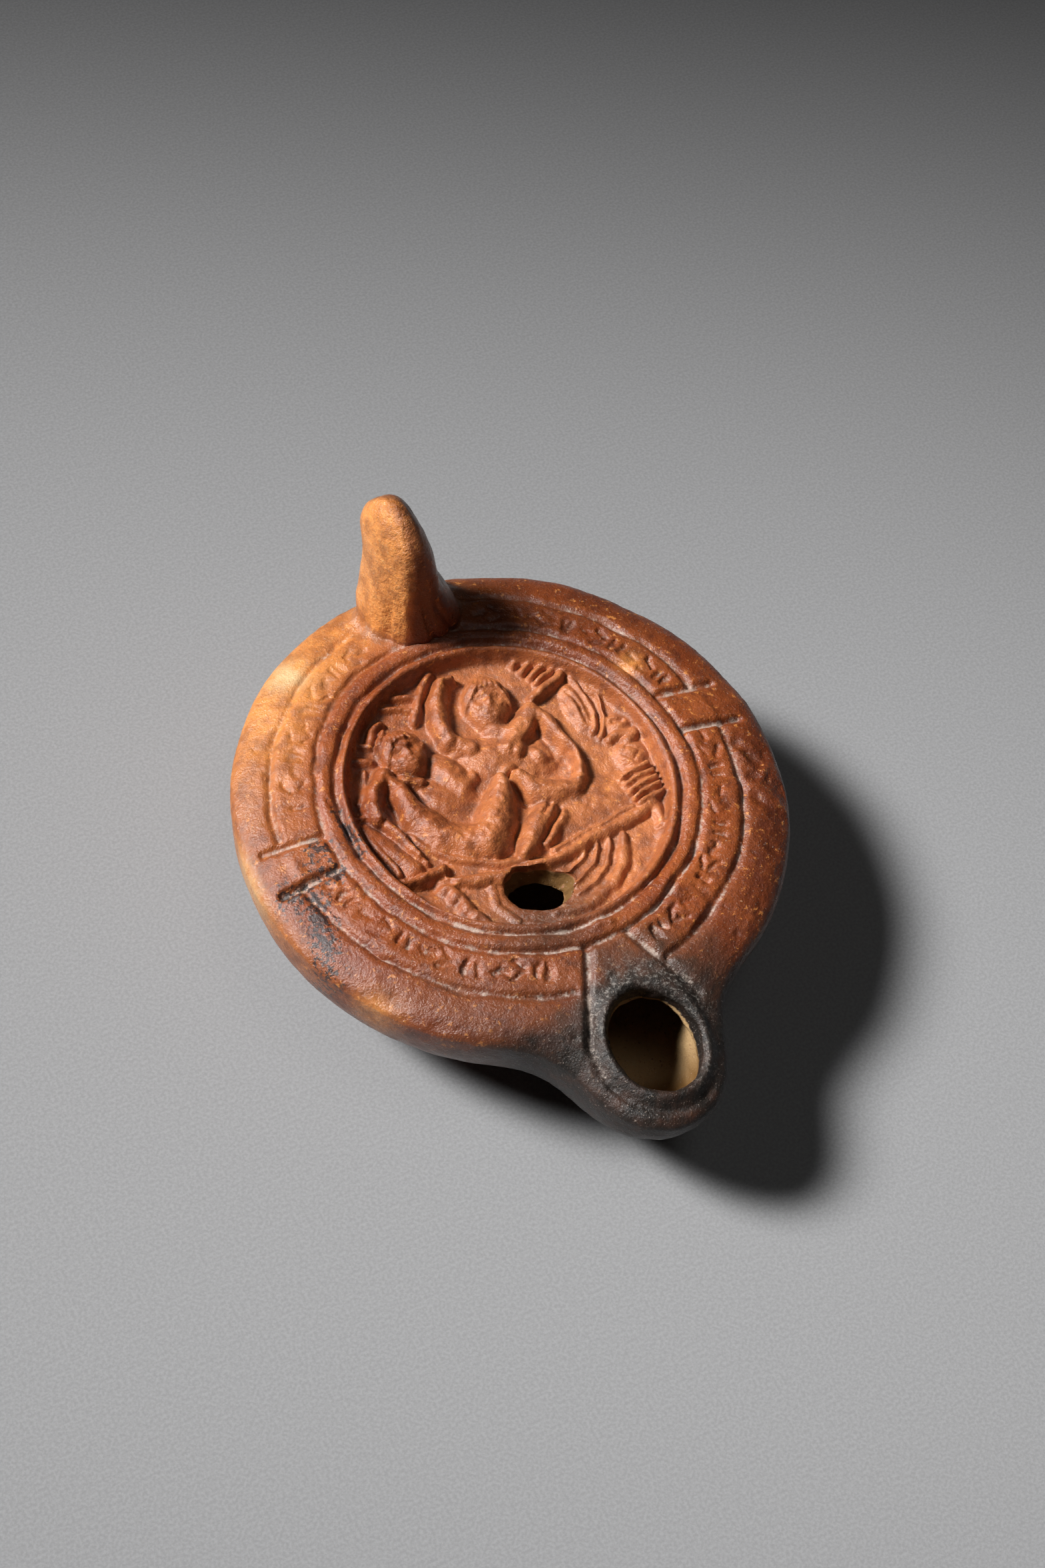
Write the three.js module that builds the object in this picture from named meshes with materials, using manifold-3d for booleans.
// Roman oil lamp of fired clay, pressed in a two-part mould and luted into one hollow body.
// Millimetres, +Z up. The origin is the centre of the flat base, the nozzle points along -Y
// and the handle stands at +Y.
import * as THREE from 'three';
import * as BufferGeometryUtils from 'three/addons/utils/BufferGeometryUtils.js';
import Module from 'manifold-3d';

const wasm = await Module();
wasm.setup();

// Body, seen from above: a disc with a short round-ended nozzle drawn out of it.
const bodyRadius = 40.7;
const bodyCentre = [1.1, -0.3]; // the body sits a little askew under its rings
const bodyHeight = 27.5; // base to the flat ring that frames the discus
const wall = 3;
const nozzleTipRadius = 9.5;
const nozzleNeckHalfWidth = 8;
const nozzleCentreX = -0.4;
const nozzleTipY = -55.2;
const nozzleBlend = 4;
const neckBlend = 11.6; // how far the body and the nozzle run into each other
const neckBlendSpan = [10, 30]; // distance in front of the origin over which that blend grows
const nozzleDroop = 2.6; // how far the nozzle's top sinks below the shoulder
const nozzleDroopSpan = [34, 50]; // in front of the origin
const nozzleTaperSpan = [38, 50];

// Shoulder: its outer part rolls over from shoulderInset inside the outline down to the seam.
const shoulderRadius = 35;
const shoulderInset = 8.6;
const shoulderSink = 1.3;
const seamDepth = 4.6; // widest line, below the ring
const bodyTaper = 1.5; // 1 gives the underside a round belly, more draws it in towards the foot
const nozzleTaper = 1.3;
const bellySteps = 6;
const edgeShares = [0, 0.3, 0.58, 0.8, 0.94, 1]; // rings between the shoulder band and the edge

// Discus and the rings round it, as [radius, height above the flat ring].
const discusRadius = 22.8;
const discusDepth = 3.3;
const discusEdgeDepth = 2.7;
const ringProfile = [
  [23.5, -0.9], [24.1, 0.1], [24.6, -0.1], [25.2, -0.8], [25.8, -0.1],
  [27.4, 0], [28.1, -0.9], [28.8, -0.3], [33.5, -1], [34.2, -1.9],
];

// Base: a low flat disc with one shallow circular groove.
const footRadius = 21.5;
const footHeight = 0.9;
const footSpread = 0.6;
const baseGrooveRadius = 17.5;
const baseGrooveWidth = 1.2;
const baseGrooveDepth = 0.5;

// Chamber.
const chamberSeamDrop = 1.5; // its widest line lies this much below the outer one
const chamberSteps = 5;
const ceilingShares = [0.35, 0.6, 0.8, 0.93, 1];
const cutterAbove = 4; // the hole cutters reach this far above the ring
const fillingCutterBelow = 11;
const wickCutterBelow = 9;
const holePoints = 28;

// Holes: the oval filling hole in the discus and the wick hole in the nozzle.
const fillingHole = { x: -2.9, y: -15.2, halfLength: 4.9, halfWidth: 3.7, turn: -22 };
const wickHole = { x: 0.1, y: -43.4, halfLength: 6.4, halfWidth: 7.4, turn: 0 };

// Handle: a solid upright lug on the back of the shoulder, leaning back a little.
const handleHeight = 21.6; // above the ring
const handleRoot = -10;
const handleRootTuck = 9; // how far the back runs in under the shoulder, down to the root
const handleFront = [27.3, 30.8]; // Y at the ring's level and at the top
const handleBack = [41.8, 42.8];
const handleLeft = [-4.6, -4.6]; // X at the ring's level and at the top
const handleRight = [6.3, 2.2];
const handleHeel = 1.4; // swelling of the back, under the top
const handleHeelAt = 0.7;
const handleHeelReach = 0.2;
const handleCrownAt = 0.61; // share of the height where the top starts to round over
const handleFlare = 2.9; // widening where it grows out of the shoulder
const handleFlareTop = 9; // above the ring
const handleSquareness = 0.75;
const handleLevels = 11;
const handlePoints = 24;

// Engraved lines: pairs of radial cuts frame two plain panels and the nozzle's top.
const cutWidth = 1.1;
const cutDepth = 0.8;
const cuts = [
  { from: [-28.4, 3.6], to: [-36.2, 5.1] }, // left panel
  { from: [-28.4, -2.2], to: [-36.8, -2] },
  { from: [28.6, 5.5], to: [38, 5.2] }, // right panel
  { from: [28.4, -1.2], to: [38.4, -2.1] },
  { from: [-2.8, -28.2], to: [-7.6, -39.4] }, // nozzle
  { from: [4.1, -28.2], to: [9, -38.8] },
];

const ringCount = 19; // rings of the discus, each with six points more than the last
const sectors = 6 * ringCount;
const lowerSectors = 72;
const cavitySectors = 48;
const halvings = 30;
const tiny = 0.01;

// Moulded picture: rounded bars between two points, and oval mounds, rising from the discus.
const bars = [
  // couch: mattress edge, rail, head board, two turned legs
  { from: [-14.5, -3.5], to: [-6, -10], half: 1.1, rise: 1 },
  { from: [-14, -9], to: [-2, -11.6], half: 0.9, rise: 1.1 },
  { from: [-2, -11.6], to: [8, -11.6], half: 1.1, rise: 1.2 },
  { from: [8, -11.6], to: [19, -9.6], half: 1.1, rise: 1.2 },
  { from: [-21.3, 2.5], to: [-18.4, -5.5], half: 1.6, rise: 0.9 },
  { from: [-21.5, -6.4], to: [-14.6, -8], half: 0.9, rise: 1.2 },
  { from: [-16, -10.6], to: [-14, -17], half: 1.2, rise: 1.2 },
  { from: [18.8, -10.5], to: [18.6, -15.5], half: 1.3, rise: 1.1 },
  // left figure: upper arm, forearm, back, hip and thigh
  { from: [-14.6, 9.8], to: [-18, 6.6], half: 1.7, rise: 1.8 },
  { from: [-18, 5.6], to: [-16.4, -3], half: 1.2, rise: 1.3 },
  { from: [-13.4, 6.4], to: [-11, -1], half: 2.6, rise: 1.8 },
  { from: [-11, -1], to: [-3.5, -5.4], half: 3, rise: 2.1 },
  { from: [-3.6, -4.6], to: [0.6, 2.6], half: 2.6, rise: 2.4 },
  // right figure: raised arm, shoulder, bent arm, thigh and shin
  { from: [-2.8, 12.6], to: [0.6, 21], half: 1.7, rise: 2 },
  { from: [-6.6, 17], to: [-2.6, 21.8], half: 0.8, rise: 1 },
  { from: [3, 8.6], to: [11, 11.2], half: 2.2, rise: 2 },
  { from: [11.8, 10.8], to: [12.9, 1.8], half: 1.6, rise: 1.8 },
  { from: [12.2, -0.6], to: [5, -0.6], half: 2.1, rise: 1.9 },
  { from: [3.8, 2.4], to: [6.6, -1.6], half: 1.9, rise: 1.7 },
  { from: [4.6, -4.6], to: [-1.6, -9], half: 1.7, rise: 1.9 },
  { from: [6.6, -6], to: [2, -9.8], half: 1.1, rise: 1.2 },
  // hangings at the right and the swag under the couch
  { from: [12.6, 14.2], to: [17.8, 15.2], half: 0.9, rise: 1.2 },
  { from: [13, 16.6], to: [17.6, 18.4], half: 0.8, rise: 1 },
  { from: [12.4, 19], to: [15.6, 21], half: 0.8, rise: 0.9 },
  { from: [16, 12.8], to: [17.4, 6], half: 1.5, rise: 1 },
  { from: [19.6, 12.8], to: [18.6, 4], half: 0.9, rise: 0.9 },
  { from: [1.8, -17.6], to: [10.4, -13.8], half: 1.2, rise: 0.8 },
  { from: [0.4, -20.4], to: [11.6, -15.4], half: 1.2, rise: 0.8 },
  // bolster
  { from: [20.8, -1], to: [19.4, -9], half: 2, rise: 1.3 },
];
const barRoundness = 0.7; // 1 gives a parabola, less gives a fuller section
const moundRoundness = 0.6;
const pictureMargin = 1.2; // the picture fades out over this at the edge of the discus
const mounds = [
  { at: [-10.4, 12.2], half: [3.5, 4.3], rise: 2.8 }, // left head
  { at: [5.2, 15.8], half: [3.6, 4.8], rise: 2.8 }, // right head
  { at: [-5.8, 6.6], half: [2, 3.2], rise: 1.3 },
  { at: [1, 7.6], half: [4.4, 3.6], rise: 1.3 },
  { at: [21.2, 5.2], half: [1.8, 1.8], rise: 1.2 },
];

function clamp(value, low, high) {
  return Math.min(Math.max(value, low), high);
}

function smoothStep(low, high, value) {
  const t = clamp((value - low) / (high - low), 0, 1);
  return t * t * (3 - 2 * t);
}

function smoothMin(a, b, reach) {
  const overlap = Math.max(reach - Math.abs(a - b), 0);
  return Math.min(a, b) - (overlap * overlap) / (4 * reach);
}

// Signed distance to the outline seen from above, negative inside.
function outlineDistance(x, y) {
  const body = Math.hypot(x - bodyCentre[0], y - bodyCentre[1]) - bodyRadius;
  const tipCentreY = nozzleTipY + nozzleTipRadius;
  const onAxis = clamp(y, tipCentreY, 0);
  const neck = Math.hypot(x - nozzleCentreX, y - onAxis) - nozzleNeckHalfWidth;
  const tip = Math.hypot(x - nozzleCentreX, y - tipCentreY) - nozzleTipRadius;
  const nozzle = smoothMin(neck, tip, nozzleBlend);
  const reach = neckBlend * smoothStep(...neckBlendSpan, -y);
  return smoothMin(body, nozzle, Math.max(reach, tiny));
}

// Radius of the outline, moved in by inset, along one direction from the centre, by halving.
function outlineRadius(angle, inset) {
  let inside = footRadius - wall;
  let outside = 2 * bodyRadius;
  for (let step = 0; step < halvings; step += 1) {
    const middle = (inside + outside) / 2;
    const distance = outlineDistance(middle * Math.cos(angle), middle * Math.sin(angle));
    if (distance < -inset) {
      inside = middle;
    } else {
      outside = middle;
    }
  }
  return inside;
}

// The nozzle's top sinks gently towards its tip.
function droop(y) {
  return nozzleDroop * smoothStep(...nozzleDroopSpan, -y);
}

// Top surface without the rings and the picture.
function shoulderHeight(x, y) {
  const inset = clamp(-outlineDistance(x, y), 0, shoulderInset);
  const away = 1 - inset / shoulderInset;
  const roll = (seamDepth - shoulderSink) * (1 - Math.sqrt(1 - away * away));
  return bodyHeight - shoulderSink - roll - droop(y);
}

function barHeight(bar, x, y) {
  const [ax, ay] = bar.from;
  const [bx, by] = bar.to;
  const lengthSquared = (bx - ax) ** 2 + (by - ay) ** 2;
  const along = clamp(((x - ax) * (bx - ax) + (y - ay) * (by - ay)) / lengthSquared, 0, 1);
  const away = Math.hypot(x - ax - along * (bx - ax), y - ay - along * (by - ay)) / bar.half;
  return bar.rise * Math.max(1 - away * away, 0) ** barRoundness;
}

function moundHeight(mound, x, y) {
  const away = Math.hypot((x - mound.at[0]) / mound.half[0], (y - mound.at[1]) / mound.half[1]);
  return mound.rise * Math.max(1 - away * away, 0) ** moundRoundness;
}

function discusHeight(x, y) {
  const radius = Math.hypot(x, y);
  const sag = discusDepth - (discusDepth - discusEdgeDepth) * (radius / discusRadius) ** 2;
  const fade = 1 - smoothStep(discusRadius - pictureMargin, discusRadius, radius);
  const barRises = bars.map((bar) => barHeight(bar, x, y));
  const moundRises = mounds.map((mound) => moundHeight(mound, x, y));
  return bodyHeight - sag + fade * Math.max(0, ...barRises, ...moundRises);
}

// One closed ring of points; radiusAt and heightAt give each point from its direction.
function ring(count, radiusAt, heightAt) {
  const points = [];
  for (let index = 0; index < count; index += 1) {
    const angle = (2 * Math.PI * index) / count;
    const radius = radiusAt(angle);
    const x = radius * Math.cos(angle);
    const y = radius * Math.sin(angle);
    points.push([x, y, heightAt(x, y)]);
  }
  return points;
}

// Skin over rings that may hold different numbers of points, from the top centre, outwards
// and down to the bottom centre. Single points close both ends.
function skin(rings) {
  const positions = [];
  const faces = [];
  const starts = [];
  for (const points of rings) {
    starts.push(positions.length / 3);
    positions.push(...points.flat());
  }
  for (let level = 0; level + 1 < rings.length; level += 1) {
    const inner = rings[level].length;
    const outer = rings[level + 1].length;
    let i = 0;
    let j = 0;
    while (i < inner || j < outer) {
      const a = starts[level] + (i % inner);
      const b = starts[level + 1] + (j % outer);
      const innerNext = inner > 1 ? (i + 1) / inner : Infinity;
      const outerNext = outer > 1 ? (j + 1) / outer : Infinity;
      const stepOuter = j < outer && (i >= inner || outerNext <= innerNext) && outer > 1;
      if (stepOuter) {
        faces.push(a, b, starts[level + 1] + ((j + 1) % outer));
        j += 1;
      } else if (inner > 1 && i < inner) {
        faces.push(a, b, starts[level] + ((i + 1) % inner));
        i += 1;
      } else {
        break;
      }
    }
  }
  const geometry = new THREE.BufferGeometry();
  geometry.setAttribute('position', new THREE.Float32BufferAttribute(positions, 3));
  geometry.setIndex(faces);
  return geometry;
}

function solidOf(geometry) {
  const bare = geometry.clone();
  bare.deleteAttribute('normal');
  bare.deleteAttribute('uv');
  const merged = BufferGeometryUtils.mergeVertices(bare, 1e-4);
  const vertProperties = new Float32Array(merged.attributes.position.array);
  const triVerts = new Uint32Array(merged.index.array);
  return new wasm.Manifold(new wasm.Mesh({ numProp: 3, vertProperties, triVerts }));
}

function geometryOf(solid) {
  const mesh = solid.getMesh();
  const geometry = new THREE.BufferGeometry();
  geometry.setAttribute('position', new THREE.Float32BufferAttribute(mesh.vertProperties, 3));
  geometry.setIndex(Array.from(mesh.triVerts));
  return geometry;
}

// Underside from the seam in to the foot, as a quarter of an ellipse in every direction.
function underside(count, steps, inset, footAt, footZ, seamZ) {
  const rings = [];
  for (let step = 1; step <= steps; step += 1) {
    const turn = (Math.PI / 2) * (step / (steps + 1));
    const level = (x, y) => footZ + (seamZ(x, y) - footZ) * (1 - Math.sin(turn));
    const radiusAt = (angle) => {
      const edge = outlineRadius(angle, inset);
      const inNozzle = smoothStep(...nozzleTaperSpan, -edge * Math.sin(angle));
      const taper = THREE.MathUtils.lerp(bodyTaper, nozzleTaper, inNozzle);
      return footAt + (edge - footAt) * Math.cos(turn) ** taper;
    };
    const seamLevel = (angle) => {
      const seam = outlineRadius(angle, inset);
      return level(seam * Math.cos(angle), seam * Math.sin(angle));
    };
    rings.push(ring(count, radiusAt, (x, y) => seamLevel(Math.atan2(y, x))));
  }
  return rings;
}

function outerSkin() {
  const rings = [[[0, 0, discusHeight(0, 0)]]];
  for (let index = 1; index <= ringCount; index += 1) {
    const radius = (discusRadius * index) / ringCount;
    rings.push(ring(6 * index, () => radius, discusHeight));
  }
  for (const [radius, height] of ringProfile) {
    rings.push(ring(sectors, () => radius, () => bodyHeight + height));
  }
  for (const share of edgeShares) {
    const between = (angle) => {
      const edge = outlineRadius(angle, 0);
      return shoulderRadius + (edge - shoulderRadius) * share;
    };
    rings.push(ring(sectors, between, shoulderHeight));
  }
  const seamZ = (x, y) => bodyHeight - seamDepth - droop(y);
  const footEdge = footRadius + footSpread;
  rings.push(...underside(lowerSectors, bellySteps, 0, footEdge, footHeight, seamZ));
  rings.push(ring(lowerSectors, () => footEdge, () => footHeight));
  const grooveEdge = baseGrooveWidth / 2;
  rings.push(ring(lowerSectors, () => footRadius, () => 0));
  rings.push(ring(lowerSectors / 2, () => baseGrooveRadius + grooveEdge, () => 0));
  rings.push(ring(lowerSectors / 2, () => baseGrooveRadius, () => baseGrooveDepth));
  rings.push(ring(lowerSectors / 2, () => baseGrooveRadius - grooveEdge, () => 0));
  rings.push([[0, 0, 0]]);
  return solidOf(skin(rings));
}

// The chamber: one open hollow under the discus that runs on into the nozzle.
function chamber() {
  const sunk = (x, y) => {
    const inDiscus = 1 - smoothStep(discusRadius, shoulderRadius - wall, Math.hypot(x, y));
    return shoulderHeight(x, y) - wall - (discusDepth - shoulderSink) * inDiscus;
  };
  const rings = [[[0, 0, sunk(0, 0)]]];
  for (const share of ceilingShares) {
    rings.push(ring(cavitySectors, (angle) => outlineRadius(angle, wall) * share, sunk));
  }
  const seamZ = (x, y) => bodyHeight - seamDepth - chamberSeamDrop - droop(y);
  rings.push(ring(cavitySectors, (angle) => outlineRadius(angle, wall), seamZ));
  rings.push(...underside(cavitySectors, chamberSteps, wall, footRadius - wall, wall, seamZ));
  rings.push(ring(cavitySectors, () => footRadius - wall, () => wall));
  rings.push([[0, 0, wall]]);
  return solidOf(skin(rings));
}

// Sections stacked from the root inside the body to the rounded top.
function handle() {
  const rings = [];
  const { lerp } = THREE.MathUtils;
  for (let level = 0; level <= handleLevels; level += 1) {
    const up = Math.sin((Math.PI / 2) * (level / handleLevels));
    const height = handleRoot + (handleHeight - handleRoot) * up;
    const rise = clamp(height / handleHeight, 0, 1);
    const aboveRing = 1 - smoothStep(-2, handleFlareTop, height);
    const belowRing = 1 - smoothStep(0, -handleRoot, -height);
    const flare = handleFlare * aboveRing * belowRing;
    const over = Math.max(rise - handleCrownAt, 0) / (1 - handleCrownAt);
    const crown = Math.sqrt(1 - over * over);
    const heel = handleHeel * Math.exp(-(((rise - handleHeelAt) / handleHeelReach) ** 2));
    const front = lerp(handleFront[0], handleFront[1], rise);
    const tuck = handleRootTuck * smoothStep(-1, -handleRoot, -height);
    const back = lerp(handleBack[0], handleBack[1], rise) + heel - tuck;
    const left = lerp(handleLeft[0], handleLeft[1], rise);
    const right = lerp(handleRight[0], handleRight[1], rise);
    const halfDepth = ((back - front) / 2) * crown;
    const halfWidth = ((right - left) / 2 + flare) * crown;
    const centre = [(left + right) / 2, (front + back) / 2];
    if (level === handleLevels) {
      rings.push([[...centre, bodyHeight + height]]);
      continue;
    }
    const section = [];
    for (let index = 0; index < handlePoints; index += 1) {
      const angle = (2 * Math.PI * index) / handlePoints;
      const square = (value) => Math.sign(value) * Math.abs(value) ** handleSquareness;
      section.push([
        centre[0] + halfWidth * square(Math.cos(angle)),
        centre[1] + halfDepth * square(Math.sin(angle)),
        bodyHeight + height,
      ]);
    }
    rings.push(section);
  }
  rings.reverse();
  const rootBack = handleBack[0] - handleRootTuck;
  const rootCentre = [(handleLeft[0] + handleRight[0]) / 2, (handleFront[0] + rootBack) / 2];
  rings.push([[...rootCentre, bodyHeight + handleRoot]]);
  return solidOf(skin(rings));
}

function holeCutter(hole, below) {
  const low = bodyHeight - below;
  const high = bodyHeight + cutterAbove;
  const cutter = new THREE.CylinderGeometry(1, 1, high - low, holePoints);
  cutter.rotateX(Math.PI / 2);
  cutter.scale(hole.halfLength, hole.halfWidth, 1);
  cutter.rotateZ(THREE.MathUtils.degToRad(hole.turn));
  cutter.translate(hole.x, hole.y, (low + high) / 2);
  return solidOf(cutter);
}

// A three-sided bar lying point down in the surface, from one point to another.
function grooveCutter(from, to, surface) {
  const start = new THREE.Vector3(from[0], from[1], surface(from[0], from[1]));
  const end = new THREE.Vector3(to[0], to[1], surface(to[0], to[1]));
  const length = start.distanceTo(end);
  const profile = new THREE.Shape();
  profile.moveTo(0, -cutDepth);
  profile.lineTo(cutWidth, cutDepth);
  profile.lineTo(-cutWidth, cutDepth);
  profile.closePath();
  const bar = new THREE.ExtrudeGeometry(profile, { depth: length, bevelEnabled: false });
  const along = new THREE.Vector3().subVectors(end, start).normalize();
  const side = new THREE.Vector3().crossVectors(new THREE.Vector3(0, 0, 1), along).normalize();
  const up = new THREE.Vector3().crossVectors(along, side);
  bar.applyMatrix4(new THREE.Matrix4().makeBasis(side, up, along).setPosition(start));
  return solidOf(bar);
}

function lamp() {
  let solid = outerSkin().add(handle());
  solid = solid.subtract(chamber());
  solid = solid.subtract(holeCutter(fillingHole, fillingCutterBelow));
  solid = solid.subtract(holeCutter(wickHole, wickCutterBelow));
  for (const { from, to } of cuts) {
    solid = solid.subtract(grooveCutter(from, to, shoulderHeight));
  }
  return geometryOf(solid);
}

const clay = new THREE.MeshStandardMaterial({ color: 0xa4522b, roughness: 0.62, metalness: 0 });
const body = new THREE.Mesh(lamp(), clay);
body.name = 'lamp_body';

const oilLamp = new THREE.Group();
oilLamp.add(body);

export default oilLamp;
